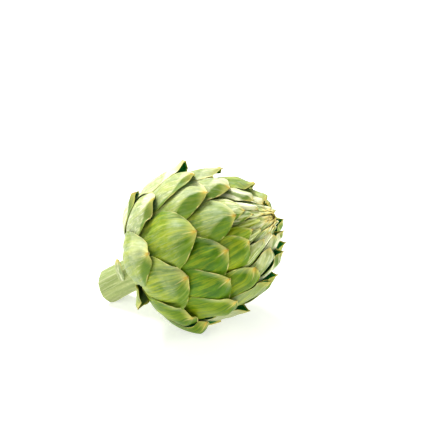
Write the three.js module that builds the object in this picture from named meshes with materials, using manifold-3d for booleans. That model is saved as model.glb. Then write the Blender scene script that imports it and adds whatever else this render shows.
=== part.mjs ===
// A globe artichoke, as cut from the plant and laid down on its side.
// Millimetres. +Z is up, z = 0 is the surface it lies on, and +X points from the cut stem to the crown of the head.
// The head is drawn upright in a frame of its own (its axis along z, its base at 0) and then laid down as one group.
//
// Every bract is one closed solid that grows from the receptacle at the top of the stem, runs up inside the older
// bracts, comes out from under them and ends in its tip. They follow one another round the head at the divergence
// angle of a real head, so that bract n lies deeper than every older bract that covers it.
import * as THREE from "three";
import { mergeVertices } from "three/addons/utils/BufferGeometryUtils.js";
import Module from "manifold-3d";

const wasm = await Module();
wasm.setup();

// ---- driving dimensions -------------------------------------------------------------------------------------
const HEAD_LENGTH = 95.5; // base to crown, along the axis
const HEAD_RADIUS = 49.2; // at its widest
const WIDEST_AT = 37.0; // height of the widest ring above the base
const BASE_POWER = 2.14; // roundness below the widest ring
const CROWN_POWER = 1.8; // and above it
const STEM_LENGTH = 34.3; // below the base of the head, along the axis
const STEM_CUT = 6; // degrees that the cut end leans off square, its lower side the longer one
const STEM_BEND = 2.0; // how far the stem has bent down at its cut end
const STEM_RADIUS = 10.6;
const HEART_RADIUS = 19.0; // the receptacle, at its top
const HEART_HEIGHT = 25.0;
const TILT = 32.0; // of the axis above the surface, degrees
const FIRST_BRACT = -9; // the small basal bracts on the stem count backwards from bract 0
const LAST_BRACT = 49;
const DIVERGENCE = 137.9; // degrees from one bract to the next
const START_ANGLE = 70; // of bract 0: 0 is the upper side, 90 the front
const LAYER = 0.54; // depth from one bract to the next
const BASE_INDEX = -2.2;
const TIP_DROP = 2.0; // how far a tip leans in toward the bracts below it
const MARGIN_DROP = 0.55; // and the margins beside it
const OPEN_SIDE_DROP = 1.9; // the margin that has only the eighth bract after it below leans in further
const KEEL = 2.6; // how far the midrib stands out where the bract comes out from under the others
const EDGE_THICKNESS = 0.55;
const MIDRIB_THICKNESS = 1.55;
const HEAD_ORIGIN = [-27.15, -0.287, 27.1]; // the base of the head, from the middle of the footprint; the flat spot it rests on follows from its height

// How far along the outside of the head (from the base, along a meridian) the tips of bracts stand.
const TIP_INDEX = [-40, -12, -9, -6, -4, -3, -2, 0, 5, 8, 10, 13, 16, 18, 21, 23, 24, 26, 29, 34, 39, 44, 48, 56];
const TIP_ALONG = [-60, 16, 31, 41, 53, 62, 69, 74.5, 82, 89, 94, 103, 108.5, 112, 117.5, 120.5, 122, 127, 131.5, 137, 141, 144.3, 146.8, 151.2];

// Bracts whose open side has a close neighbour below it.
const CROWDED = [3, 8, 15, 21, 26];
// Bracts whose place differs from the regular spiral: index -> [angle, tip along the meridian, depth as of bract n,
// half width].
// Bract -7 is the long one that the head lies on, bract -8 a small one that stands on the side of the stem.
const RESTING_BRACT = -7;
const STEM_BRACT = { index: -8, foot: [0.9, 10.75, -13.2], tip: [14.0, 11.3, -8.0], halfWidth: 2.4, bow: 1.3, thickness: 1.0 };
const PLACED = {
  [-7]: [183, 58, -5.5], [-5]: [107, 43, -5, 7.5], [-3]: [16.3, 62, -2.2], [-2]: [151, 67.5, -2.4, 14.5],
  0: [70, 74.5], 2: [-9, 88], 3: [128, 73.5], 5: [30, 79.5], 8: [96.5, 89], 10: [10, 101], 11: [138.5, 99.5],
  13: [64.5, 104.5], 15: [-15, 110], 16: [117, 108], 18: [28, 112], 21: [93.5, 117.5], 23: [6, 122.5],
  24: [142, 121], 26: [56, 128.5], 29: [103, 131.5], 31: [43, 135], 34: [88, 137.5],
};
// How far a tip stands out from the head beyond its neighbours, mm.
const LIFTS = { [-7]: 0.8, [-5]: 3.4, [-3]: 0.8, 2: 2.0, 15: 2.4, 28: 3.0, 6: 1.5, 19: 2.2, 14: 2.0, 22: 2.0, 27: 1.6, 5: 0.6, 0: 1.0, 3: 1.5, 11: 1.2, 10: 0.9, 18: 0.5, 30: 1.2, 35: 1.2, 16: 0.8 };

// ---- the outside of the head, as a meridian curve -----------------------------------------------------------
const radiusAt = (z) => {
  const below = z < WIDEST_AT;
  const t = below ? (WIDEST_AT - z) / WIDEST_AT : (z - WIDEST_AT) / (HEAD_LENGTH - WIDEST_AT);
  return HEAD_RADIUS * Math.sqrt(Math.max(0, 1 - Math.pow(Math.min(t, 1), below ? BASE_POWER : CROWN_POWER)));
};
const meridian = []; // [along, r, z]
{
  const N = 500;
  let along = 0, last = null;
  for (let i = 0; i <= 2 * N; i++) {
    const z = i <= N
      ? WIDEST_AT * (1 - Math.cos((i / N) * Math.PI / 2))
      : WIDEST_AT + (HEAD_LENGTH - WIDEST_AT) * Math.sin(((i - N) / N) * Math.PI / 2);
    const r = radiusAt(z);
    if (last) along += Math.hypot(r - last[0], z - last[1]);
    meridian.push([along, r, z]);
    last = [r, z];
  }
}
const ALONG_MAX = meridian[meridian.length - 1][0];
function onMeridian(along) {
  const s = Math.min(Math.max(along, 0), ALONG_MAX);
  let lo = 0, hi = meridian.length - 1;
  while (hi - lo > 1) {
    const mid = (lo + hi) >> 1;
    if (meridian[mid][0] <= s) lo = mid; else hi = mid;
  }
  const [s0, r0, z0] = meridian[lo], [s1, r1, z1] = meridian[hi];
  const f = (s - s0) / (s1 - s0 || 1);
  return [r0 + (r1 - r0) * f, z0 + (z1 - z0) * f];
}
// Point and outward normal; the tangent is taken over 3 mm each way, so that the offset curves stay smooth.
function frameAt(along) {
  const [r, z] = onMeridian(along);
  const a = onMeridian(along - 3), b = onMeridian(along + 3);
  const dr = b[0] - a[0], dz = b[1] - a[1], n = Math.hypot(dr, dz);
  return { r, z, nr: dz / n, nz: -dr / n };
}
const interpolate = (xs, ys, x) => {
  let i = 1;
  while (i < xs.length - 1 && x > xs[i]) i++;
  return ys[i - 1] + ((ys[i] - ys[i - 1]) * (x - xs[i - 1])) / (xs[i] - xs[i - 1]);
};
const indexAt = (along) => interpolate(TIP_ALONG, TIP_INDEX, along);
// The bract whose outer face is on the meridian curve; the small basal bracts lie on top of it.
const outermostAt = (along) => Math.max(indexAt(along), BASE_INDEX - 0.02 * (62 - along));
const smooth = (x) => { const t = Math.min(Math.max(x, 0), 1); return t * t * (3 - 2 * t); };

// The receptacle that all the bracts grow from.
const heartRadius = (z) => STEM_RADIUS + (HEART_RADIUS - STEM_RADIUS) * smooth(z / HEART_HEIGHT);

// ---- bracts -------------------------------------------------------------------------------------------------
const HALF_WIDTH_AT = [[20, 7], [31, 8.5], [41, 12], [53, 16], [62, 18], [74, 19.5], [90, 20], [104, 19.5], [112, 18.5], [118, 17], [123, 15.5], [128, 13.5], [132, 11.5], [137, 8.6], [141, 6.6], [144, 5.2], [147, 3.8]];
function bract(index) {
  const placed = PLACED[index];
  const angle = placed ? placed[0] : START_ANGLE + DIVERGENCE * index;
  const along = placed ? placed[1] : interpolate(TIP_INDEX, TIP_ALONG, index);
  const width = placed?.[3] ?? interpolate(HALF_WIDTH_AT.map((p) => p[0]), HALF_WIDTH_AT.map((p) => p[1]), along);
  return {
    index: placed?.[2] ?? index, along, width,
    angle: THREE.MathUtils.degToRad(angle),
    size: Math.min(Math.max(width / 17, 0.3), 1),
    lift: LIFTS[index] ?? 0,
    crowded: CROWDED.includes(index),
    rests: index === RESTING_BRACT,
    basal: index < -3,
  };
}
// The point of bract b at distance a from its tip, v from -1 to 1 across, on its outer (0) or inner (1) face.
function bractPoint(b, a, v, face) {
  const along = b.along - a;
  const { r, z, nr, nz } = frameAt(along);
  const k = b.size;
  let depth = LAYER * (b.index - outermostAt(along));
  depth += k * TIP_DROP * (1 - smooth(a / (15 * k)));
  depth -= b.lift * Math.pow(1 - smooth(a / Math.max(12 * k, 4.2 * b.lift)), 1.3);
  if (!b.rests) depth -= k * KEEL * smooth(a / (7 * k)) * (1 - smooth((a / k - 9) / 17)) * Math.max(0, 1 - Math.pow(Math.abs(v) / 0.8, 1.3));
  depth += k * (v > 0 && !b.crowded ? OPEN_SIDE_DROP : MARGIN_DROP) * Math.pow(Math.abs(v), 3) * smooth(a / (5 * k)) * (1 - smooth((a / k - 14) / 16));
  const thickness = (EDGE_THICKNESS + (MIDRIB_THICKNESS - EDGE_THICKNESS) * (1 - v * v)) * (b.rests ? 1 : 0.6 + 0.4 * smooth(a / 12));
  if (face) depth += thickness;
  const rr = r - depth * nr, zz = z - depth * nz;
  const open = 1 - Math.min(a / (1.45 * b.width), 1);
  let half = Math.max(1.1, b.width * Math.pow(1 - open * open, 0.82));
  const most = Math.max(rr, 3) * THREE.MathUtils.degToRad(b.along > 134 ? 38 : 25.5);
  half = half > most ? most : half;
  const phi = b.angle + (v * half) / Math.max(rr, 3);
  return [rr * Math.cos(phi), rr * Math.sin(phi), zz];
}
// Distance from the tip to the base of the bract, where it meets the receptacle.
function lengthOf(b) {
  for (let a = 8; a < b.along - 2; a += 0.25) {
    for (const face of [0, 1]) {
      const p = bractPoint(b, a, 0, face);
      if (p[2] < 55 && Math.hypot(p[0], p[1]) < heartRadius(p[2]) + 0.45) return a - 0.25;
    }
  }
  return b.along - 12;
}
function gridSolid(points, rows, columns) {
  // points[face][row][column]; the two faces are joined round their edge
  const position = [], at = (f, i, j) => (f * rows + i) * columns + j, index = [];
  for (const face of points) for (const row of face) for (const p of row) position.push(...p);
  const quad = (a, b, c, d) => index.push(a, b, c, a, c, d);
  for (let i = 0; i < rows - 1; i++)
    for (let j = 0; j < columns - 1; j++) {
      quad(at(0, i, j), at(0, i, j + 1), at(0, i + 1, j + 1), at(0, i + 1, j));
      quad(at(1, i, j), at(1, i + 1, j), at(1, i + 1, j + 1), at(1, i, j + 1));
    }
  for (let i = 0; i < rows - 1; i++) {
    quad(at(0, i, 0), at(0, i + 1, 0), at(1, i + 1, 0), at(1, i, 0));
    quad(at(0, i, columns - 1), at(1, i, columns - 1), at(1, i + 1, columns - 1), at(0, i + 1, columns - 1));
  }
  for (let j = 0; j < columns - 1; j++) {
    quad(at(0, 0, j), at(1, 0, j), at(1, 0, j + 1), at(0, 0, j + 1));
    quad(at(0, rows - 1, j), at(0, rows - 1, j + 1), at(1, rows - 1, j + 1), at(1, rows - 1, j));
  }
  const g = new THREE.BufferGeometry();
  g.setAttribute("position", new THREE.Float32BufferAttribute(position, 3));
  g.setIndex(index);
  return g;
}
function stemBractGeometry() {
  const { foot, tip, halfWidth, bow, thickness } = STEM_BRACT;
  const across = new THREE.Vector3(foot[2] - tip[2], 0, tip[0] - foot[0]).normalize();
  const faces = [0, 1].map((face) =>
    Array.from({ length: 7 }, (_, i) => {
      const t = 1 - i / 6; // 1 at the tip
      const half = halfWidth * (t < 0.5 ? 0.85 + 0.3 * t : Math.max(0.22, Math.sqrt(1 - Math.pow((t - 0.5) / 0.52, 2))));
      return Array.from({ length: 3 }, (_, j) => {
        const v = j - 1;
        const out = bow * Math.sin(t * Math.PI) * 0.6 + (face ? 0 : thickness * (1 - 0.45 * t) * (1 - 0.45 * v * v));
        return [
          foot[0] + (tip[0] - foot[0]) * t + across.x * v * half,
          foot[1] + (tip[1] - foot[1]) * t + out,
          foot[2] + (tip[2] - foot[2]) * t + across.z * v * half,
        ];
      });
    }),
  );
  return gridSolid(faces, 7, 3);
}
function bractGeometry(b) {
  const length = lengthOf(b);
  const rows = Math.max(5, Math.round(length / (b.width > 9 ? 10.5 : 12)) + 3);
  const columns = b.width > 9 ? 5 : 3;
  // rows are closer together near the tip, where the outline turns
  const faces = [0, 1].map((face) =>
    Array.from({ length: rows }, (_, i) => {
      const a = length * Math.pow(i / (rows - 1), 1.35);
      return Array.from({ length: columns }, (_, j) => bractPoint(b, a, (2 * j) / (columns - 1) - 1, face));
    }),
  );
  return gridSolid(faces, rows, columns);
}

// ---- solids -------------------------------------------------------------------------------------------------
function toSolid(geometry) {
  const g = geometry.clone();
  for (const name of ["normal", "uv"]) if (g.getAttribute(name)) g.deleteAttribute(name);
  const merged = mergeVertices(g, 1e-4);
  const make = (tri) => new wasm.Manifold(new wasm.Mesh({ numProp: 3, vertProperties: new Float32Array(merged.attributes.position.array), triVerts: tri }));
  const tri = new Uint32Array(merged.index.array);
  const solid = make(tri);
  if (solid.volume() >= 0) return solid;
  for (let i = 0; i < tri.length; i += 3) [tri[i + 1], tri[i + 2]] = [tri[i + 2], tri[i + 1]];
  return make(tri);
}
function toGeometry(solid) {
  const m = solid.getMesh();
  const g = new THREE.BufferGeometry();
  const position = new Float32Array(m.numVert * 3);
  for (let i = 0; i < m.numVert; i++) for (let k = 0; k < 3; k++) position[3 * i + k] = m.vertProperties[i * m.numProp + k];
  g.setAttribute("position", new THREE.BufferAttribute(position, 3));
  g.setIndex(new THREE.BufferAttribute(new Uint32Array(m.triVerts), 1));
  g.computeVertexNormals();
  return g;
}

// The head lies on its side: x', y', z' of its own frame are the upper side, the front and the axis.
const tilt = THREE.MathUtils.degToRad(TILT);
const lay = new THREE.Matrix4().makeBasis(
  new THREE.Vector3(-Math.sin(tilt), 0, Math.cos(tilt)),
  new THREE.Vector3(0, -1, 0),
  new THREE.Vector3(Math.cos(tilt), 0, Math.sin(tilt)),
).setPosition(...HEAD_ORIGIN);

// Everything below the surface it lies on is pressed flat.
const under = new THREE.BoxGeometry(400, 400, 60).translate(0, 0, -30).applyMatrix4(lay.clone().invert());
const underSolid = toSolid(under);
const pressed = (solid) => solid.subtract(underSolid);

const green = (color, roughness) => new THREE.MeshStandardMaterial({ color, roughness, metalness: 0 });
const head = new THREE.Group();
head.quaternion.setFromRotationMatrix(lay);
head.position.set(...HEAD_ORIGIN);

function addMesh(name, solid, material) {
  const mesh = new THREE.Mesh(toGeometry(solid), material);
  mesh.name = name;
  head.add(mesh);
}

// The stem, the receptacle that it widens into, and the closed bud of the youngest bracts on top grew as one piece.
{
  const lathe = (profile, sides) => new THREE.LatheGeometry(profile.map((p) => new THREE.Vector2(...p)), sides).rotateX(Math.PI / 2);
  const stem = [[0, -STEM_LENGTH], [STEM_RADIUS - 0.7, -STEM_LENGTH], [STEM_RADIUS, -STEM_LENGTH + 0.9], [STEM_RADIUS - 0.2, -25], [STEM_RADIUS - 0.3, -15], [STEM_RADIUS, -4]];
  for (let k = 0; k <= 6; k++) {
    const z = (HEART_HEIGHT * k) / 6;
    stem.push([heartRadius(z), z]);
  }
  stem.push([0, HEART_HEIGHT + 4]);
  const stemGeometry = lathe(stem, 28);
  const position = stemGeometry.getAttribute("position");
  const slope = Math.tan(THREE.MathUtils.degToRad(STEM_CUT));
  for (let i = 0; i < position.count; i++) {
    const x = position.getX(i), z = position.getZ(i);
    if (z < -STEM_LENGTH + 2) position.setZ(i, z + slope * x);
    if (z < 0) position.setX(i, x - STEM_BEND * (z / STEM_LENGTH) ** 2);
  }

  const bud = [];
  for (let along = ALONG_MAX; along > 20; along -= 7) {
    const { r, z, nr, nz } = frameAt(along);
    const depth = LAYER * (LAST_BRACT + 6 - outermostAt(along));
    const rr = r - depth * nr, zz = z - depth * nz;
    if (along === ALONG_MAX) bud.push([0, zz]);
    else if (zz > HEART_HEIGHT + 3) bud.push([rr, zz]);
  }
  bud.push([bud[bud.length - 1][0] - 3, HEART_HEIGHT], [0, HEART_HEIGHT]);
  const grown = toSolid(stemGeometry).add(toSolid(lathe(bud.reverse(), 20)));
  addMesh("stem_and_bud", pressed(grown), green(0xb3bf78, 0.6));
}
for (let index = FIRST_BRACT; index <= LAST_BRACT; index++) {
  const b = bract(index);
  const number = String(index - FIRST_BRACT + 1).padStart(2, "0");
  addMesh((b.basal ? "basal_bract_" : "bract_") + number, pressed(toSolid(index === STEM_BRACT.index ? stemBractGeometry() : bractGeometry(b))), green(b.basal ? 0xb8c690 : 0x9fb95c, 0.55));
}

const artichoke = new THREE.Group();
artichoke.name = "artichoke";
artichoke.add(head);
export default artichoke;
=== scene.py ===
import math
import random

import bpy
import numpy as np
from mathutils import Matrix, Vector


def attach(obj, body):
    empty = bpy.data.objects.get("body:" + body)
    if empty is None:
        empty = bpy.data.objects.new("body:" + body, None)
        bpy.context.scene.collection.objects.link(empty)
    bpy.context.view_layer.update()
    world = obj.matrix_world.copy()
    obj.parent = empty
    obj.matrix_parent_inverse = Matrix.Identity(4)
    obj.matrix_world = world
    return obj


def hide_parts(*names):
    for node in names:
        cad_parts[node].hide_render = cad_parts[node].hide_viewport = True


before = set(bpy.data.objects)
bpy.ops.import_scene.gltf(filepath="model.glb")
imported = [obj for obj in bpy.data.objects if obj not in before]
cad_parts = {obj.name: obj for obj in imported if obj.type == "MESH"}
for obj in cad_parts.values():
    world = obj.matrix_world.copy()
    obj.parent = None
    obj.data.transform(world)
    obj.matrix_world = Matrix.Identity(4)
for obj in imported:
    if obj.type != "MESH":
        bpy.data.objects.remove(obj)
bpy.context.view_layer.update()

# ---- the head's driving dimensions, in millimetres, as in the CAD ---------------------------------------------
HEAD_LENGTH, HEAD_RADIUS, WIDEST_AT = 95.5, 49.2, 37.0
BASE_POWER, CROWN_POWER = 2.14, 1.8
STEM_LENGTH, STEM_CUT, STEM_BEND, STEM_RADIUS = 34.3, 6.0, 2.0, 10.6
HEART_RADIUS, HEART_HEIGHT = 19.0, 25.0
TILT = math.radians(32.0)
FIRST_BRACT, LAST_BRACT = -9, 49
DIVERGENCE, START_ANGLE = 137.9, 70.0
LAYER, BASE_INDEX = 0.54, -2.2
TIP_DROP, MARGIN_DROP, OPEN_SIDE_DROP, KEEL = 2.0, 0.55, 1.9, 2.6
EDGE_THICKNESS, MIDRIB_THICKNESS = 0.55, 1.55
HEAD_ORIGIN = np.array([-27.15, -0.287, 27.1])

TIP_INDEX = [-40, -12, -9, -6, -4, -3, -2, 0, 5, 8, 10, 13, 16, 18, 21, 23, 24, 26, 29, 34, 39, 44, 48, 56]
TIP_ALONG = [-60, 16, 31, 41, 53, 62, 69, 74.5, 82, 89, 94, 103, 108.5, 112, 117.5, 120.5, 122, 127, 131.5, 137, 141, 144.3, 146.8, 151.2]
RESTING_BRACT, STEM_BRACT = -7, -8
CROWDED = (3, 8, 15, 21, 26)
PLACED = {
    -7: (183, 58, -5.5), -5: (107, 43, -5, 7.5), -3: (16.3, 62, -2.2), -2: (151, 67.5, -2.4, 14.5),
    0: (70, 74.5), 2: (-9, 88), 3: (128, 73.5), 5: (30, 79.5), 8: (96.5, 89), 10: (10, 101), 11: (138.5, 99.5),
    13: (64.5, 104.5), 15: (-15, 110), 16: (117, 108), 18: (28, 112), 21: (93.5, 117.5), 23: (6, 122.5),
    24: (142, 121), 26: (56, 128.5), 29: (103, 131.5), 31: (43, 135), 34: (88, 137.5),
}
LIFTS = {-7: 0.8, -5: 3.4, -3: 0.8, 2: 2.0, 15: 2.4, 28: 3.0, 6: 1.5, 19: 2.2, 14: 2.0, 22: 2.0, 27: 1.6, 5: 0.6, 0: 1.0, 3: 1.5, 11: 1.2, 10: 0.9, 18: 0.5, 30: 1.2, 35: 1.2, 16: 0.8}
HALF_WIDTH_AT = [(20, 7), (31, 8.5), (41, 12), (53, 16), (62, 18), (74, 19.5), (90, 20), (104, 19.5), (112, 18.5), (118, 17), (123, 15.5), (128, 13.5), (132, 11.5), (137, 8.6), (141, 6.6), (144, 5.2), (147, 3.8)]

# The tips at the far side, a little lower and narrower here than in the CAD.
FAR_SIDE = {2: 0.65, 6: 0.7, 14: 0.6, 15: 0.5, 19: 0.75, 22: 0.6, 27: 0.65, 28: 0.55, 30: 0.65, 35: 0.65, 43: 0.7, 48: 0.7}

# Bracts whose lower margin is drawn in, as a share of the half width.
TRIM = {0: 0.16}

# How sharply a bract is folded along its midrib near the tip, as a share of the CAD's fold, and how much one margin
# stands off more than the other, mm.
FOLD = {0: 0.5, 5: 0.55, 10: 0.75, 18: 1.1, 26: 1.2, 23: 0.75, 13: 0.5, 8: 0.6, 21: 0.8, 16: 0.8, 29: 0.7, 24: 0.6, 3: 0.8, 11: 0.8, 34: 0.8, 31: 1.0, 36: 0.9}
TWIST = {16: -0.5, 26: 0.3, 3: -0.6, 11: -0.5, 8: 0.2, 13: 0.1, 10: 0.4, 5: 0.6, 0: 0.2, 18: 0.3}
# How far the folded part, and the shade and light painted on its two sides, reach back from the tip, as a share of the
# CAD's.
FACET = {-3: 0.4, 0: 0.8, 5: 0.55, 10: 0.45, 23: 0.6, 18: 0.95, 26: 1.15, 13: 0.8, 2: 0.5, 15: 0.5, 28: 0.5}
# Bloom and yellowness of the bracts, mostly 0 to 1.
BLOOM = {-9: 0.2, -7: 0.4, -6: 0.25, -5: 0.2, -4: 0.2, -3: 1.1, -2: 0.0, -1: 0.22, 0: 0.33, 1: 0.2, 2: 0.84, 3: 0.0, 4: 0.22, 5: 0.66, 6: 0.45,
         7: 0.2, 8: 0.13, 9: 0.18, 10: 0.56, 11: 0.0, 12: 0.2, 13: 0.15, 14: 0.35, 15: 0.42, 16: 0.0, 17: 0.2, 18: 0.34, 19: 0.16, 20: 0.2, 21: 0.0,
         22: 0.5, 23: 0.62, 24: 0.0, 25: 0.2, 26: 0.18, 27: 1.35, 28: 0.16, 29: 0.0, 30: 0.16, 31: 0.45, 32: 0.35, 33: 0.2, 34: 0.02, 35: 1.2,
         36: 1.15, 37: 0.35, 38: 0.7, 39: 0.45, 40: 0.5, 41: 0.8, 42: 0.35, 43: 1.3, 44: 1.25, 45: 0.65, 46: 0.85, 47: 0.2, 48: 1.0, 49: 0.7}
TONE = {-2: 0.2, 0: 0.5, 3: 0.35, 8: 0.6, 11: 0.4, 13: 0.55, 16: -0.3, 18: 0.45, 21: -0.2, 24: 0.6, 26: 0.4, 29: 0.3, 31: 0.85, 34: 1.0, 37: 1.0, 39: 1.0, 32: 0.8,
        42: 1.0, 47: 1.0, 45: 1.0}
# Painted highlight: how much paler the upper margin near the tip is painted, where it faces up, over its bloom.
PAINTED_GLINT = {8: 0.12, 21: 0.20, 16: 0.16, 26: 0.30, 18: 0.25, 29: 0.15, 31: 0.2, 34: 0.2, 3: 0.2, 11: 0.25, 24: 0.2}
# How strongly its veins show.
STREAK = {8: 0.75, 13: 0.7, 5: 0.6, 10: 0.6, 18: 0.65, 23: 0.7, 26: 0.6, 29: 0.7, 34: 0.85, 24: 0.7, 37: 1.1, 31: 1.15, 32: 1.0, 33: 0.9, 27: 1.2, 14: 0.8, 22: 1.0, 30: 1.0, 39: 1.2}


def smooth(x):
    t = np.clip(x, 0, 1)
    return t * t * (3 - 2 * t)


# ---- the outside of the head, as a meridian curve ---------------------------------------------------------------
def radius_at(z):
    below = z < WIDEST_AT
    t = np.where(below, (WIDEST_AT - z) / WIDEST_AT, (z - WIDEST_AT) / (HEAD_LENGTH - WIDEST_AT))
    return HEAD_RADIUS * np.sqrt(np.clip(1 - np.power(np.clip(t, 0, 1), np.where(below, BASE_POWER, CROWN_POWER)), 0, 1))


_u = np.linspace(0, math.pi / 2, 1001)
_z = np.concatenate([WIDEST_AT * (1 - np.cos(_u)), WIDEST_AT + (HEAD_LENGTH - WIDEST_AT) * np.sin(_u[1:])])
_r = radius_at(_z)
_s = np.concatenate([[0], np.cumsum(np.hypot(np.diff(_r), np.diff(_z)))])
ALONG_MAX = _s[-1]


def meridian(along):
    s = np.clip(along, 0, ALONG_MAX)
    return np.interp(s, _s, _r), np.interp(s, _s, _z)


def frame_at(along):
    r, z = meridian(along)
    ra, za = meridian(along - 3)
    rb, zb = meridian(along + 3)
    dr, dz = rb - ra, zb - za
    n = np.hypot(dr, dz)
    return r, z, dz / n, -dr / n


def outermost_at(along):
    return np.maximum(np.interp(along, TIP_ALONG, TIP_INDEX), BASE_INDEX - 0.02 * (62 - along))


def heart_radius(z):
    return STEM_RADIUS + (HEART_RADIUS - STEM_RADIUS) * smooth(np.asarray(z) / HEART_HEIGHT)


def laid(p):
    """From the head's own frame, in millimetres, to the row frame in metres."""
    x, y, z = p[..., 0], p[..., 1], p[..., 2]
    c, s = math.cos(TILT), math.sin(TILT)
    w = np.stack([-s * x + c * z, -y, c * x + s * z], -1) + HEAD_ORIGIN
    return w * 0.001


def soften(grid, passes):
    for _ in range(passes):
        for axis in (0, 1):
            p = np.concatenate([np.take(grid, [0], axis), grid, np.take(grid, [-1], axis)], axis)
            n = grid.shape[axis]
            grid = (np.take(p, range(0, n), axis) + 2 * grid + np.take(p, range(2, n + 2), axis)) / 4
    return grid


# ---- bracts ----------------------------------------------------------------------------------------------------
class Bract:
    def __init__(self, index, angle=None, along=None, depth_index=None, width=None, lift=None, tiny=False):
        placed = PLACED.get(index)
        rnd = random.Random(1000 + index)
        self.number = index
        self.angle = math.radians(angle if angle is not None else placed[0] if placed else START_ANGLE + DIVERGENCE * index)
        self.along = along if along is not None else placed[1] if placed else float(np.interp(index, TIP_INDEX, TIP_ALONG))
        self.index = depth_index if depth_index is not None else placed[2] if placed and len(placed) > 2 else index
        self.width = width if width is not None else placed[3] if placed and len(placed) > 3 else float(np.interp(self.along, *zip(*HALF_WIDTH_AT)))
        self.lift = (lift if lift is not None else LIFTS.get(index, 0)) * FAR_SIDE.get(index, 1)
        self.tiny = tiny
        self.size = min(max(self.width / 17.0, 0.16 if tiny else 0.3), 1.0)
        self.fold = FOLD.get(index, rnd.uniform(0.6, 1.0))
        self.facet = FACET.get(index, 0.9)
        # +1 where v above zero is the side that faces down
        self.facing = 1.0 if math.sin(self.angle) > -0.15 else -1.0
        self.twist = TWIST.get(index, rnd.uniform(-0.3, 0.3)) * self.size
        self.phase = [rnd.uniform(0, 2 * math.pi) for _ in range(8)]
        self.seed = rnd.uniform(0, 40)
        self.tone = TONE.get(index, rnd.uniform(0.35, 0.75) if index < 30 else rnd.uniform(0.7, 1.0))
        self.bloom = BLOOM.get(index, rnd.uniform(0.25, 0.55) if index < 30 else rnd.uniform(0.5, 0.75))
        self.rests = index == RESTING_BRACT
        self.crowded = index in CROWDED

    def half(self, a, rr):
        w = self.width
        slender = float(smooth((12 - w) / 6))
        w = w * (1 - 0.2 * slender)
        open_ = 1 - np.clip(a / ((1.45 + 1.35 * slender) * w), 0, 1)
        half = w * np.power(np.clip(1 - open_ * open_, 0, 1), 0.82 + 0.30 * slender + (0.28 if self.number in FAR_SIDE and self.number > 2 else 0))
        ph = self.phase
        half = half * (1 + 0.014 * np.sin(a / 2.9 + ph[0]) + 0.008 * np.sin(a / 1.3 + ph[1]))
        # the last millimetres narrow into a small point
        half = np.maximum(half * (0.72 + 0.28 * smooth(a / (3.5 * self.size + 0.5))), 0.25 + 0.5 * smooth(a / 1.5) * self.size)
        most = np.maximum(rr, 3) * math.radians(38 if self.along > 134 else 25.5)
        return np.minimum(half, most)

    def depth(self, a, v):
        """Of the outer face below the head's outline, as in the CAD."""
        k = self.size
        depth = LAYER * (self.index - outermost_at(self.along - a))
        depth = depth + k * TIP_DROP * (1 - smooth(a / (15 * k)))
        depth = depth - self.lift * np.power(1 - smooth(a / max(12 * k, 4.2 * self.lift)), 1.3)
        if not self.rests:
            f = k * self.facet
            crest = self.facing * self.slant(a)
            roof = np.clip(1 - (np.sqrt((v - crest) ** 2 + 0.0016) - 0.02) / 0.92, 0, 1)
            depth = depth - self.fold * k * KEEL * smooth(a / (7 * f)) * (1 - smooth((a / f - 9) / 17)) * roof
        lean = np.where(v > 0, MARGIN_DROP if self.crowded else OPEN_SIDE_DROP, MARGIN_DROP)
        depth = depth + k * lean * np.abs(v) ** 3 * smooth(a / (5 * k)) * (1 - smooth((a / k - 14) / 16))
        return depth

    def slant(self, a):
        """How far the crease runs off the midrib toward the lower margin."""
        return 0.85 * np.power(np.clip(a / (26 * self.size * self.facet), 0, 1), 1.3)

    def thickness(self, a, v):
        k = self.size
        if self.rests:
            return EDGE_THICKNESS + (MIDRIB_THICKNESS - EDGE_THICKNESS) * (1 - v * v) + 0 * a
        thick = 0.22 + (MIDRIB_THICKNESS - 0.22) * np.power(np.clip(1 - v * v, 0, 1), 0.75)
        return thick * (0.4 + 0.6 * smooth(a / (14 * k))) * max(k, 0.45)

    def grid(self, A, V):
        """Outer and inner face, and the coordinates that the skin is drawn with."""
        k = self.size
        along = self.along - A
        r, z, nr, nz = frame_at(along)
        depth = self.depth(A, V)
        thick = self.thickness(A, V)
        half = self.half(A, r)
        if not self.rests:
            out = 1 - smooth(A / (24 * k))
            edge = (1 - np.abs(V)) * half
            # the margins and the tip lie on the bracts below them
            margin, point = smooth((np.abs(V) - 0.25) / 0.65), 1 - smooth(A / (11 * k))
            if self.lift > 0.4:
                margin = margin * smooth((A - 0.4 * k) / (4 * k))
                point = point * smooth((A - 1.5 * k) / (9 * k))
            near = np.maximum(margin, point) * (1 - smooth((A - 34) / 14))
            # the lower margin keeps a narrow gap
            below = V * self.facing
            gap = 0.08 + (1.4 if self.number > 2 else 0.3) * k * smooth(below / 0.6) * smooth(A / (4 * k)) * (1 - smooth((A / k - 16) / 10))
            if not self.tiny:
                room = room_below(self, along, self.angle + V * half / np.maximum(r, 3), depth + thick)
                room = soften(room, 3)
                depth = depth + near * np.clip(room - gap, 0, 3.2 if self.number > 2 else 3.9)
            depth = depth - self.twist * V * (1 - smooth(A / (18 * k)))
            # the very tip hooks out, and the margin is turned up a little
            depth = depth - 0.45 * k * (1 - smooth(A / (2.6 * k)))
            depth = depth - 0.12 * k * np.exp(-edge / 0.6) * out
            # long shallow waves in the skin, and soft ribs that run out toward the margin
            ph = self.phase
            depth = depth - out * k * (0.13 * np.sin(A / 4.3 + 2.1 * V + ph[2]) * (1 - V * V) + 0.07 * np.sin(7.5 * V + ph[3] + A / 17) * smooth(A / 6))
        grids = []
        for face in (0, 1):
            d = depth + face * thick
            rr, zz = r - d * nr, z - d * nz
            h = self.half(A, rr)
            if self.number in TRIM:
                h = h * (1 - TRIM[self.number] * smooth(V * self.facing / 0.5) * smooth(A / 5))
            phi = self.angle + V * h / np.maximum(rr, 3)
            grids.append(np.stack([rr * np.cos(phi), rr * np.sin(phi), zz], -1))
        return grids, half

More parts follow.
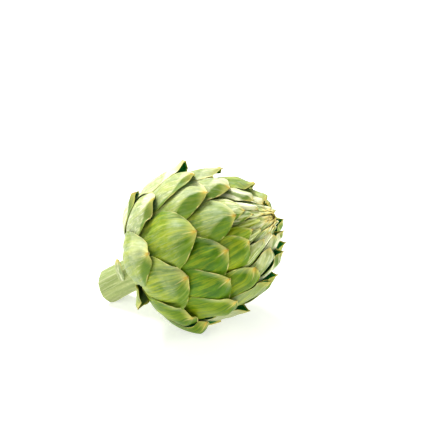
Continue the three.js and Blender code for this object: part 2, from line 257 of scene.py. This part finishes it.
    def length(self):
        if self.tiny:
            return 11.0
        a = np.arange(8, self.along - 2, 0.25)
        stop = self.along - 12
        r, z, nr, nz = frame_at(self.along - a)
        for face in (0, 1):
            d = self.depth(a, 0 * a) + face * self.thickness(a, 0 * a)
            rr, zz = r - d * nr, z - d * nz
            hit = (zz < 55) & (rr < heart_radius(zz) + 0.45)
            if hit.any():
                stop = min(stop, a[np.argmax(hit)] - 0.25)
        return stop


bracts = [Bract(index) for index in range(FIRST_BRACT, LAST_BRACT + 1) if index != STEM_BRACT]


def room_below(b, along, phi, depth):
    """How far below the given depth the next bract inside b lies, up to 4 mm."""
    room = np.full_like(depth, 4.0)
    r, _ = meridian(along)
    r = np.maximum(r, 3)
    for c in bracts:
        if c is b or c.index <= b.index:
            continue
        a = c.along - along
        if a.max() < -1:
            continue
        off = np.abs((phi - c.angle + math.pi) % (2 * math.pi) - math.pi) * r
        signed = ((phi - c.angle + math.pi) % (2 * math.pi) - math.pi) * r
        if off.min() > c.width + 1:
            continue
        half = c.half(np.maximum(a, 0), r)
        inside = (a > -1.0) & (off < half + 0.7)
        outer = c.depth(np.maximum(a, 0), np.clip(signed / half, -1, 1))
        room = np.where(inside, np.minimum(room, outer - depth), room)
    return room


def grid_object(name, faces, attributes, material, closed=True):
    """faces is [outer, inner] grids of points in metres, joined round their edge; attributes is {name: [outer, inner]}."""
    rows, columns = faces[0].shape[:2]
    n = rows * columns
    co = np.concatenate([f.reshape(-1, 3) for f in faces])
    at = np.arange(2 * n).reshape(2, rows, columns)
    q = []
    o, i = at[0], at[1]
    q.append(np.stack([o[:-1, :-1], o[:-1, 1:], o[1:, 1:], o[1:, :-1]], -1).reshape(-1, 4))
    q.append(np.stack([i[:-1, :-1], i[1:, :-1], i[1:, 1:], i[:-1, 1:]], -1).reshape(-1, 4))
    q.append(np.stack([o[:-1, 0], o[1:, 0], i[1:, 0], i[:-1, 0]], -1))
    q.append(np.stack([o[:-1, -1], i[:-1, -1], i[1:, -1], o[1:, -1]], -1))
    q.append(np.stack([o[0, :-1], i[0, :-1], i[0, 1:], o[0, 1:]], -1))
    q.append(np.stack([o[-1, :-1], o[-1, 1:], i[-1, 1:], i[-1, :-1]], -1))
    q = np.concatenate(q)
    if volume(co, q) < 0:
        q = q[:, ::-1]
    return mesh_object(name, co, q, {k: np.concatenate([x.ravel() for x in val]) for k, val in attributes.items()}, material)


def volume(co, q):
    a, b, c, d = (co[q[:, k]] for k in range(4))
    return float((np.einsum("ij,ij->i", a, np.cross(b, c)) + np.einsum("ij,ij->i", a, np.cross(c, d))).sum())


def mesh_object(name, co, quads, attributes, material):
    me = bpy.data.meshes.new(name)
    me.vertices.add(len(co))
    me.vertices.foreach_set("co", co.astype(np.float32).ravel())
    me.loops.add(quads.size)
    me.loops.foreach_set("vertex_index", quads.astype(np.int32).ravel())
    me.polygons.add(len(quads))
    me.polygons.foreach_set("loop_start", np.arange(0, quads.size, 4, dtype=np.int32))
    me.update(calc_edges=True)
    me.validate()
    for key, values in attributes.items():
        layer = me.attributes.new(key, "FLOAT", "POINT")
        layer.data.foreach_set("value", values.astype(np.float32))
    me.shade_smooth()
    me.materials.append(material)
    ob = bpy.data.objects.new(name, me)
    bpy.context.scene.collection.objects.link(ob)
    return ob


# ---- materials ---------------------------------------------------------------------------------------------------
class Nodes:
    def __init__(self, name):
        self.mat = bpy.data.materials.new(name)
        self.mat.use_nodes = True
        self.tree = self.mat.node_tree
        self.tree.nodes.clear()
        self.out = self.tree.nodes.new("ShaderNodeOutputMaterial")
        self.bsdf = self.tree.nodes.new("ShaderNodeBsdfPrincipled")
        self.link(self.bsdf.outputs[0], self.out.inputs[0])

    def link(self, a, b):
        self.tree.links.new(a, b)

    def set(self, socket, value):
        if isinstance(value, bpy.types.NodeSocket):
            self.link(value, socket)
        else:
            socket.default_value = value

    def attribute(self, name):
        n = self.tree.nodes.new("ShaderNodeAttribute")
        n.attribute_name = name
        return n.outputs["Fac"]

    def math(self, op, a, b=0.0, c=None, clamp=False):
        n = self.tree.nodes.new("ShaderNodeMath")
        n.operation, n.use_clamp = op, clamp
        self.set(n.inputs[0], a)
        self.set(n.inputs[1], b)
        if c is not None:
            self.set(n.inputs[2], c)
        return n.outputs[0]

    def step(self, x, low, high, to_low=0.0, to_high=1.0):
        """Smooth step of x from low to high; low may be above high."""
        n = self.tree.nodes.new("ShaderNodeMapRange")
        n.interpolation_type = "SMOOTHSTEP"
        if low > high:
            low, high, to_low, to_high = high, low, to_high, to_low
        self.set(n.inputs["Value"], x)
        n.inputs["From Min"].default_value, n.inputs["From Max"].default_value = low, high
        n.inputs["To Min"].default_value, n.inputs["To Max"].default_value = to_low, to_high
        return n.outputs[0]

    def combine(self, x, y, z):
        n = self.tree.nodes.new("ShaderNodeCombineXYZ")
        for s, v in zip(n.inputs, (x, y, z)):
            self.set(s, v)
        return n.outputs[0]

    def noise(self, vector, scale=1.0, detail=3.0, rough=0.55, distortion=0.0):
        n = self.tree.nodes.new("ShaderNodeTexNoise")
        self.set(n.inputs["Vector"], vector)
        n.inputs["Scale"].default_value = scale
        n.inputs["Detail"].default_value = detail
        n.inputs["Roughness"].default_value = rough
        n.inputs["Distortion"].default_value = distortion
        return n.outputs["Fac"]

    def mix(self, factor, a, b, blend="MIX"):
        n = self.tree.nodes.new("ShaderNodeMix")
        n.data_type, n.blend_type, n.clamp_factor = "RGBA", blend, True
        self.set(n.inputs["Factor"], factor)
        for s, v in ((n.inputs[6], a), (n.inputs[7], b)):
            self.set(s, v if isinstance(v, bpy.types.NodeSocket) else (*v, 1.0))
        return n.outputs[2]

    def bump(self, height, strength, distance, normal=None):
        n = self.tree.nodes.new("ShaderNodeBump")
        n.inputs["Strength"].default_value = strength
        n.inputs["Distance"].default_value = distance
        self.set(n.inputs["Height"], height)
        if normal is not None:
            self.link(normal, n.inputs["Normal"])
        return n.outputs[0]


def srgb(r, g, b):
    return tuple(((c / 255 + 0.055) / 1.055) ** 2.4 if c > 10 else c / 255 / 12.92 for c in (r, g, b))


MID, YELLOW, DEEP = srgb(101, 134, 8), srgb(160, 168, 24), srgb(42, 86, 4)
BLOOM_WHITE, RIM, TIP = srgb(228, 229, 190), srgb(234, 216, 136), srgb(188, 154, 50)
BROWN, INSIDE, BLANCHED = srgb(104, 74, 24), srgb(42, 164, 84), srgb(190, 206, 112)


def blend(a, b, t):
    return tuple(np.array(a) * (1 - t) + np.array(b) * t)


def bract_material(name, tone, bloom, seed, size, streak=0.4, inside=INSIDE, dry=1.0, painted_glint=0.0):
    """tone: 0 deep to 1 yellow green. bloom: how pale and waxy it is, which also sets how much painted light the side
    of the fold that faces up gets. streak: how strongly its veins show.
    """
    m = Nodes(name)
    along, vein, edge, inner, side = (m.attribute(x) for x in ("along_mm", "vein_mm", "edge_mm", "inner", "side"))
    streaks = m.combine(vein, m.math("MULTIPLY", along, 0.07), seed)
    fine = m.noise(streaks, 0.85, 4.0, 0.62, 0.05)
    veins = m.noise(streaks, 0.34, 2.0, 0.5, 0.05)
    patch = m.noise(m.combine(vein, m.math("MULTIPLY", along, 0.5), seed + 11), 0.10, 3.0, 0.55)
    mottle = m.noise(m.combine(vein, along, seed + 23), 0.38, 4.0, 0.65)
    base = m.mix(m.step(patch, 0.31, 0.69), blend(DEEP, MID, 0.35 + 0.6 * tone), blend(MID, YELLOW, 0.10 + 0.70 * tone))
    base = m.mix(m.math("MULTIPLY", m.step(veins, 0.54, 0.34), 0.30 + 0.35 * streak), base, DEEP)
    base = m.mix(m.math("MULTIPLY", m.step(fine, 0.50, 0.60), 0.22 + 0.45 * streak), base, YELLOW)
    # painted shade and light: the side of the fold that faces the ground is painted a deeper green, and the side that
    # faces up is painted with more bloom
    painted_shade = m.step(side, 0.005, -0.09)
    painted_light = m.step(side, -0.01, 0.15)
    base = m.mix(m.math("MULTIPLY", painted_shade, 0.62), base, blend(DEEP, MID, 0.4))
    deep = m.math("MULTIPLY", m.step(edge, 1.5, 7.0), m.math("MULTIPLY", m.step(along, 24.0, 10.0), m.step(patch, 0.62, 0.40)))
    base = m.mix(m.math("MULTIPLY", deep, 0.35), base, DEEP)
    dashes = m.noise(m.combine(vein, m.math("MULTIPLY", along, 0.16), seed + 3), 0.95, 3.0, 0.6)
    wobble = m.math("MULTIPLY", m.math("SUBTRACT", mottle, 0.5), 1.2)
    near_edge = m.math("ADD", edge, wobble)
    young = max(0.0, 1 - size / 0.8)
    wax_and_painted_light = m.math("ADD", m.math("MULTIPLY", m.step(mottle, 0.42, 0.66), 0.24 * bloom), m.math("MULTIPLY", m.step(dashes, 0.53 - 0.03 * young, 0.63 - 0.05 * young), (0.005 + 0.38 * bloom) * (0.6 + streak + young)))
    # painted light: more pale bloom on the side of the fold that faces up, near the tip
    wax_and_painted_light = m.math("ADD", wax_and_painted_light, m.math("MULTIPLY", painted_light, 0.03 + 0.46 * bloom))
    # painted highlight: a pale strip along the upper margin near the tip, on the side of the fold that faces up
    if painted_glint:
        strip = m.math("MULTIPLY", m.step(near_edge, 5.0 * size, 0.8 * size), m.step(along, 19.0 * size, 5.0 * size))
        wax_and_painted_light = m.math("ADD", wax_and_painted_light, m.math("MULTIPLY", m.math("MULTIPLY", painted_light, strip), painted_glint))
    wax_and_painted_light = m.math("ADD", wax_and_painted_light, 0.46 * bloom - 0.05)
    # painted shade: the bloom is taken off the side of the fold that faces the ground
    wax_and_painted_light = m.math("MULTIPLY", wax_and_painted_light, m.math("SUBTRACT", 1.0, m.math("MULTIPLY", painted_shade, 0.85)), clamp=True)
    # the bloom, with the painted light and highlight, is laid on here; the youngest bracts are the palest
    base = m.mix(wax_and_painted_light, base, blend(BLOOM_WHITE, srgb(248, 250, 232), min(1.0, max(0.0, (bloom - 1.2) / 0.4))))
    if streak > 0.6:
        strips = m.noise(m.combine(vein, m.math("MULTIPLY", along, 0.045), seed + 71), 0.62, 2.0, 0.5)
        base = m.mix(m.math("MULTIPLY", m.step(strips, 0.50, 0.40), 0.75 * (streak - 0.6)), base, blend(MID, DEEP, 0.35))
        pale = blend(srgb(178, 196, 70), BLOOM_WHITE, min(1.0, bloom * 1.4))
        base = m.mix(m.math("MULTIPLY", m.step(strips, 0.52 - 0.05 * young, 0.60 - 0.05 * young), 0.95 * (streak - 0.6)), base, pale)
    base = m.mix(m.math("MULTIPLY", m.step(along, 24.0 * size + 6, 50.0 * size + 8), 0.5), base, BLANCHED)
    # thin pale margins that come and go, and the dried point
    here = m.math("MULTIPLY", m.step(m.noise(m.combine(vein, along, seed + 51), 0.20, 2.0, 0.5), 0.44, 0.60, 0.0, 1.0), m.step(along, 18.0 * size + 3, 3.0 * size, 0.0, 0.85))
    base = m.mix(m.math("MULTIPLY", m.step(near_edge, 0.30 + 0.50 * size, 0.15), here), base, RIM)
    from_tip = m.math("ADD", along, m.math("MULTIPLY", wobble, 1.2 * size + 0.3))
    base = m.mix(m.math("MULTIPLY", m.step(from_tip, 6.5 * size + 0.6 + 3.0 * young, 1.0 * size), 0.55 + 0.3 * young), base, blend(YELLOW, RIM, 0.5 + 0.4 * young))
    crest = m.math("MULTIPLY", m.step(m.math("ABSOLUTE", m.math("ADD", vein, m.math("MULTIPLY", wobble, 0.25))), 0.25 + 0.55 * size, 0.1), m.step(along, 11.0 * size, 3.0 * size))
    base = m.mix(m.math("MULTIPLY", crest, 0.5), base, RIM)
    spot = m.math("MULTIPLY", m.step(from_tip, 4.4 * size + 0.4 + 1.5 * young, 1.6 * size), m.step(m.math("ABSOLUTE", vein), 3.8 * size + 0.5, 1.4 * size))
    base = m.mix(m.math("MULTIPLY", spot, 0.85 * dry), base, TIP)
    base = m.mix(m.math("MULTIPLY", m.step(from_tip, 1.3 * size + 0.2 + 0.7 * young, 0.3), 0.75 * dry), base, BROWN)
    flecks = m.noise(m.combine(vein, along, seed + 37), 1.1, 2.0, 0.5)
    base = m.mix(m.math("MULTIPLY", m.step(flecks, 0.74, 0.80), 0.35), base, BROWN)
    lining = m.mix(m.step(edge, 0.7, 2.0), blend(RIM, YELLOW, 0.5), inside)
    base = m.mix(inner, base, lining)
    m.link(base, m.bsdf.inputs["Base Color"])
    m.link(m.step(fine, 0.3, 0.75, 0.38, 0.60), m.bsdf.inputs["Roughness"])
    m.bsdf.inputs["Specular IOR Level"].default_value = 0.17
    m.bsdf.inputs["Sheen Weight"].default_value = 0.04 * min(bloom, 1.0)
    m.bsdf.inputs["Sheen Roughness"].default_value = 0.4
    m.bsdf.inputs["Subsurface Weight"].default_value = 0.03
    m.bsdf.inputs["Subsurface Radius"].default_value = (0.8, 1.0, 0.25)
    m.bsdf.inputs["Subsurface Scale"].default_value = 0.0012
    ribs = m.bump(veins, 0.5, 0.0006)
    lines = m.bump(fine, 0.5, 0.00025, ribs)
    m.link(m.bump(mottle, 0.25, 0.0005, lines), m.bsdf.inputs["Normal"])
    return m.mat


def stem_material():
    m = Nodes("stem_skin")
    along, around, cut, rim = (m.attribute(x) for x in ("along_mm", "across_mm", "cut", "edge_mm"))
    streaks = m.combine(m.math("MULTIPLY", around, 1.0), m.math("MULTIPLY", along, 0.05), 3.0)
    fine = m.noise(streaks, 1.5, 4.0, 0.6)
    ribs = m.noise(streaks, 0.42, 2.0, 0.5)
    mottle = m.noise(m.combine(around, along, 9.0), 0.5, 4.0, 0.6)
    base = m.mix(m.step(ribs, 0.35, 0.65), srgb(130, 146, 76), srgb(160, 170, 100))
    base = m.mix(m.math("MULTIPLY", m.step(fine, 0.53, 0.66), 0.42), base, srgb(202, 208, 156))
    base = m.mix(m.math("MULTIPLY", m.step(fine, 0.46, 0.36), 0.40), base, srgb(112, 132, 60))
    base = m.mix(m.math("MULTIPLY", m.step(mottle, 0.56, 0.40), 0.30), base, srgb(118, 138, 62))
    raised = m.attribute("raised")
    base = m.mix(m.math("MULTIPLY", m.step(raised, 0.40, 0.95), 0.42), base, srgb(214, 216, 168))
    pith = m.noise(m.combine(around, along, 17.0), 1.6, 3.0, 0.6)
    face = m.mix(m.step(pith, 0.4, 0.65), srgb(196, 198, 140), srgb(226, 224, 178))
    face = m.mix(m.math("MULTIPLY", m.step(rim, 2.2, 0.5), 0.7), face, srgb(128, 146, 74))
    face = m.mix(m.math("MULTIPLY", m.step(pith, 0.66, 0.74), 0.5), face, srgb(150, 120, 70))
    base = m.mix(cut, base, face)
    m.link(base, m.bsdf.inputs["Base Color"])
    m.link(m.step(fine, 0.3, 0.7, 0.5, 0.7), m.bsdf.inputs["Roughness"])
    m.bsdf.inputs["Specular IOR Level"].default_value = 0.4
    m.bsdf.inputs["Sheen Weight"].default_value = 0.15
    m.bsdf.inputs["Subsurface Weight"].default_value = 0.08
    m.bsdf.inputs["Subsurface Radius"].default_value = (0.8, 1.0, 0.4)
    m.bsdf.inputs["Subsurface Scale"].default_value = 0.0015
    m.link(m.bump(mottle, 0.3, 0.0005, m.bump(fine, 0.6, 0.0004)), m.bsdf.inputs["Normal"])
    return m.mat


# ---- the bracts --------------------------------------------------------------------------------------------------
def bract_object(name, b, material, rows, columns, index=60):
    length = b.length()
    u = np.linspace(0, 1, rows)
    a = length * np.power(u, 1.6)
    t = np.linspace(-1, 1, columns)
    v = 1.35 * t - 0.35 * t ** 3
    A, V = np.meshgrid(a, v, indexing="ij")
    grids, half = b.grid(A, V)
    faces = []
    for face, p in enumerate(grids):
        w = laid(p)
        # pressed flat where the head lies on it
        w[..., 2] = np.maximum(w[..., 2], 0.0 if face == 0 else 0.0004)
        faces.append(w)
    edge = np.minimum((1 - np.abs(V)) * half, A * 0.8 + 0.1)
    vein = V * (0.55 * half + 0.45 * b.width)
    # above zero on the side of the crease that faces up, where the material paints light; below zero where it paints
    # shade
    f = b.size * b.facet
    down = V * b.facing - b.slant(A)
    side = np.where(down > 0, -down, -down * (1 - smooth((A / f - 11) / 14))) * smooth(A / (2.5 * f))
    # the sharper the fold, the stronger the painted shade and light; the crown's bracts get less of it
    side = side * max(0.0, (b.fold - 0.3) / 0.6) * (1.0 if index <= 34 else 0.3)
    attributes = {"along_mm": [A, A], "vein_mm": [vein, vein], "edge_mm": [edge, edge], "side": [side, side], "inner": [A * 0, A * 0 + 1]}
    return grid_object(name, faces, attributes, material)


def stem_bract_object(name, material):
    """The small bract that stands on the side of the stem."""
    foot, tip = np.array([0.9, 10.75, -13.2]), np.array([14.0, 11.3, -8.0])
    half_width, bow, thickness = 2.4, 1.3, 1.0
    across = np.array([foot[2] - tip[2], 0, tip[0] - foot[0]])
    across = across / np.linalg.norm(across)
    T, V = np.meshgrid(np.linspace(1, 0, 30), np.linspace(-1, 1, 15), indexing="ij")
    half = half_width * np.where(T < 0.5, 0.85 + 0.3 * T, np.maximum(0.12, np.sqrt(np.clip(1 - ((T - 0.5) / 0.515) ** 2, 0, 1))))
    faces = []
    for face in (0, 1):
        out = bow * np.sin(T * math.pi) * 0.6 + (0 if face else 1) * thickness * (1 - 0.45 * T) * (1 - 0.5 * V * V) - 0.25 * face * 0
        p = foot + (tip - foot) * T[..., None] + across * (V * half)[..., None]
        p[..., 1] += out
        faces.append(laid(p))
    length = float(np.linalg.norm(tip - foot))
    A = (1 - T) * length
    edge = np.minimum((1 - np.abs(V)) * half, A * 0.8 + 0.1)
    attributes = {"along_mm": [A, A], "vein_mm": [V * half, V * half], "edge_mm": [edge, edge], "side": [A * 0, A * 0], "inner": [A * 0, A * 0]}
    return grid_object(name, faces, attributes, material)


for index in range(FIRST_BRACT, LAST_BRACT + 1):
    number = index - FIRST_BRACT + 1
    node = ("basal_bract_%02d" if index < -3 else "bract_%02d") % number
    if index == STEM_BRACT:
        ob = stem_bract_object(node + "_skin", bract_material("bract_skin_%02d" % number, 0.35, 0.62, 7.0, 0.4, dry=0.15))
    else:
        b = next(x for x in bracts if x.number == index)
        mat = bract_material("bract_skin_%02d" % number, b.tone, b.bloom, b.seed, b.size, streak=STREAK.get(index, 1.45 if index >= 35 else 0.4),
                             inside=srgb(96, 122, 62) if index == -5 else INSIDE, painted_glint=PAINTED_GLINT.get(index, 0.0))
        big = b.width > 9
        ob = bract_object(node + "_skin", b, mat, 60 if big else 40, 41 if big else 21, index)
    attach(ob, "root")
    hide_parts(node)

# The youngest bracts, of which only the tips show at the crown.
tip_mats = [bract_material("crown_tip_%d" % k, 0.8, 0.5, 5.0 + 7 * k, 0.2, streak=0.9) for k in range(3)]
for k in range(26):
    rnd = random.Random(500 + k)
    along = 146.6 + (ALONG_MAX - 147.2) * (k / 25) ** 0.8
    b = Bract(60 + k, angle=START_ANGLE + DIVERGENCE * (50 + k) + rnd.uniform(-8, 8), along=along,
              depth_index=50.0 + 0.15 * k, width=2.9 - 1.7 * k / 25, lift=rnd.uniform(0.1, 0.7), tiny=True)
    ob = bract_object("crown_tip_%02d" % (k + 1), b, tip_mats[k % 3], 20, 11)
    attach(ob, "root")

# ---- stem, receptacle and bud --------------------------------------------------------------------------------------
around = np.linspace(0, 2 * math.pi, 193)[:-1]
ribs = [(0.15, 0.42, 0.14), (0.95, 0.48, 0.10), (1.85, 0.30, 0.11), (2.7, 0.5, 0.13), (3.6, 0.4, 0.16), (4.4, 0.5, 0.13), (5.3, 0.45, 0.13)]
raised = sum(h * np.exp(-((np.angle(np.exp(1j * (around - c))) / w) ** 2)) for c, h, w in ribs)
raised = raised + 0.04 * np.sin(23 * around + 1.0) + 0.03 * np.sin(41 * around)


def heart_profile():
    rings = []
    for z in np.concatenate([np.linspace(-STEM_LENGTH, -STEM_LENGTH + 1.2, 5)[1:], np.linspace(-STEM_LENGTH + 2, 0, 30), np.linspace(0.8, HEART_HEIGHT, 22)]):
        r = STEM_RADIUS - 0.35 - 0.25 * math.exp(-(((z + 18) / 9) ** 2)) if z < 0 else float(heart_radius(z)) - 0.35
        if z < -STEM_LENGTH + 1.2:
            r -= 0.6 * (1 - (z + STEM_LENGTH) / 1.2) ** 2
        rings.append((r, z, 0.0, 1.0 if z < 2 else max(0.0, 1 - (z - 2) / 6)))
    return rings


rings = [(r, -STEM_LENGTH, 1.0, 0.0) for r in np.linspace(0.02, STEM_RADIUS - 1.2, 12)] + heart_profile()
bud = []
for along in np.arange(ALONG_MAX, 20, -2.5):
    r, z, nr, nz = frame_at(along)
    depth = LAYER * (LAST_BRACT + 7.5 - outermost_at(along))
    rr, zz = float(r - depth * nr), float(z - depth * nz)
    if along == ALONG_MAX:
        rr = 0.02
    if zz > HEART_HEIGHT + 3:
        bud.append((rr, zz, 0.0, 0.0))
rings += bud[::-1]
co, att = [], {"along_mm": [], "across_mm": [], "cut": [], "edge_mm": [], "raised": []}
for r, z, cut, relief in rings:
    rr = r + relief * raised
    x, y = rr * np.cos(around), rr * np.sin(around)
    zz = np.full_like(x, z)
    if z < 0:
        zz = zz + math.tan(math.radians(STEM_CUT)) * x * (1 - smooth((z + STEM_LENGTH) / 12))
        if cut:
            zz = zz + 0.10 * np.sin(3.1 * x + 0.4) * np.cos(2.7 * y) - 0.35 * (1 - (r / STEM_RADIUS) ** 2) * -1
    if z < 0:
        x = x - STEM_BEND * (zz / STEM_LENGTH) ** 2
    co.append(np.stack([x, y, zz], -1))
    att["along_mm"].append(np.full_like(x, z) if not cut else x)
    att["across_mm"].append(around * STEM_RADIUS if not cut else y)
    att["cut"].append(np.full_like(x, cut))
    att["edge_mm"].append(np.full_like(x, STEM_RADIUS - r if cut else 0))
    att["raised"].append(raised / 0.55 if relief else raised * 0)
co = np.array(co)
w = laid(co)
w[..., 2] = np.maximum(w[..., 2], 0.0)
rows, columns = w.shape[:2]
at = np.arange(rows * columns).reshape(rows, columns)
nxt = np.roll(at, -1, axis=1)
quads = np.stack([at[:-1], nxt[:-1], nxt[1:], at[1:]], -1).reshape(-1, 4)
flatco = w.reshape(-1, 3)
if volume(flatco, quads) < 0:
    quads = quads[:, ::-1]
stem = mesh_object("stem_and_bud_skin", flatco, quads, {k: np.array(val).ravel() for k, val in att.items()}, stem_material())
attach(stem, "root")
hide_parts("stem_and_bud")

# ---- floor, light and camera -----------------------------------------------------------------------------------
floor_mesh = bpy.data.meshes.new("floor")
floor_mesh.from_pydata([(-6, -6, 0), (6, -6, 0), (6, 6, 0), (-6, 6, 0)], [], [(0, 1, 2, 3)])
floor = bpy.data.objects.new("floor", floor_mesh)
floor.location.z = -0.0001
bpy.context.scene.collection.objects.link(floor)
fl = Nodes("floor_white")
fl.bsdf.inputs["Base Color"].default_value = (0.76, 0.76, 0.76, 1)
fl.bsdf.inputs["Roughness"].default_value = 0.8
fl.bsdf.inputs["Emission Color"].default_value = (1, 1, 1, 1)
fl.bsdf.inputs["Emission Strength"].default_value = 0.5
floor_mesh.materials.append(fl.mat)

AZIMUTH, ELEVATION = math.radians(26.14), math.radians(25.87)
right = Vector((math.cos(AZIMUTH), math.sin(AZIMUTH), 0))
back = Vector((math.sin(AZIMUTH) * math.cos(ELEVATION), -math.cos(AZIMUTH) * math.cos(ELEVATION), math.sin(ELEVATION)))
up = Vector((-math.sin(AZIMUTH) * math.sin(ELEVATION), math.cos(AZIMUTH) * math.sin(ELEVATION), math.cos(ELEVATION)))
middle = Vector(HEAD_ORIGIN * 0.001) + Vector((math.cos(TILT), 0, math.sin(TILT))) * 0.04777
FOCAL, DISTANCE = 1211.0, 0.700
camera_data = bpy.data.cameras.new("camera")
camera_data.lens, camera_data.sensor_width, camera_data.sensor_fit = 36 * FOCAL / 447, 36, "AUTO"
camera = bpy.data.objects.new("camera", camera_data)
bpy.context.scene.collection.objects.link(camera)
place = middle - (right * ((207.78 - 223.5) * DISTANCE / FOCAL) + up * (-(242.93 - 223.5) * DISTANCE / FOCAL) - back * DISTANCE)
camera.matrix_world = Matrix((
    (right.x, up.x, back.x, place.x),
    (right.y, up.y, back.y, place.y),
    (right.z, up.z, back.z, place.z),
    (0, 0, 0, 1),
))
camera_data.clip_start, camera_data.clip_end = 0.01, 50
bpy.context.scene.camera = camera


def area(name, direction, distance, size, energy, colour=(1, 1, 1)):
    light = bpy.data.lights.new(name, "AREA")
    light.shape, light.size, light.energy, light.color = "DISK", size, energy, colour
    ob = bpy.data.objects.new(name, light)
    d = (right * direction[0] + up * direction[1] + back * direction[2]).normalized()
    ob.location = middle + d * distance
    ob.rotation_mode = "QUATERNION"
    ob.rotation_quaternion = d.to_track_quat("Z", "Y")
    bpy.context.scene.collection.objects.link(ob)
    return ob


area("key", (-0.42, 1.0, 0.0), 1.3, 0.6, 28)
area("front_fill", (-0.6, 0.3, 1.0), 1.6, 1.1, 9)
area("right_fill", (1.0, 0.15, 0.35), 1.5, 1.2, 15)
world = bpy.data.worlds.new("studio")
bpy.context.scene.world = world
world.use_nodes = True
world.node_tree.nodes["Background"].inputs[0].default_value = (1, 1, 1, 1)
world.node_tree.nodes["Background"].inputs[1].default_value = 0.46
bpy.context.scene.view_settings.view_transform = "Standard"
bpy.context.scene.view_settings.look = "None"
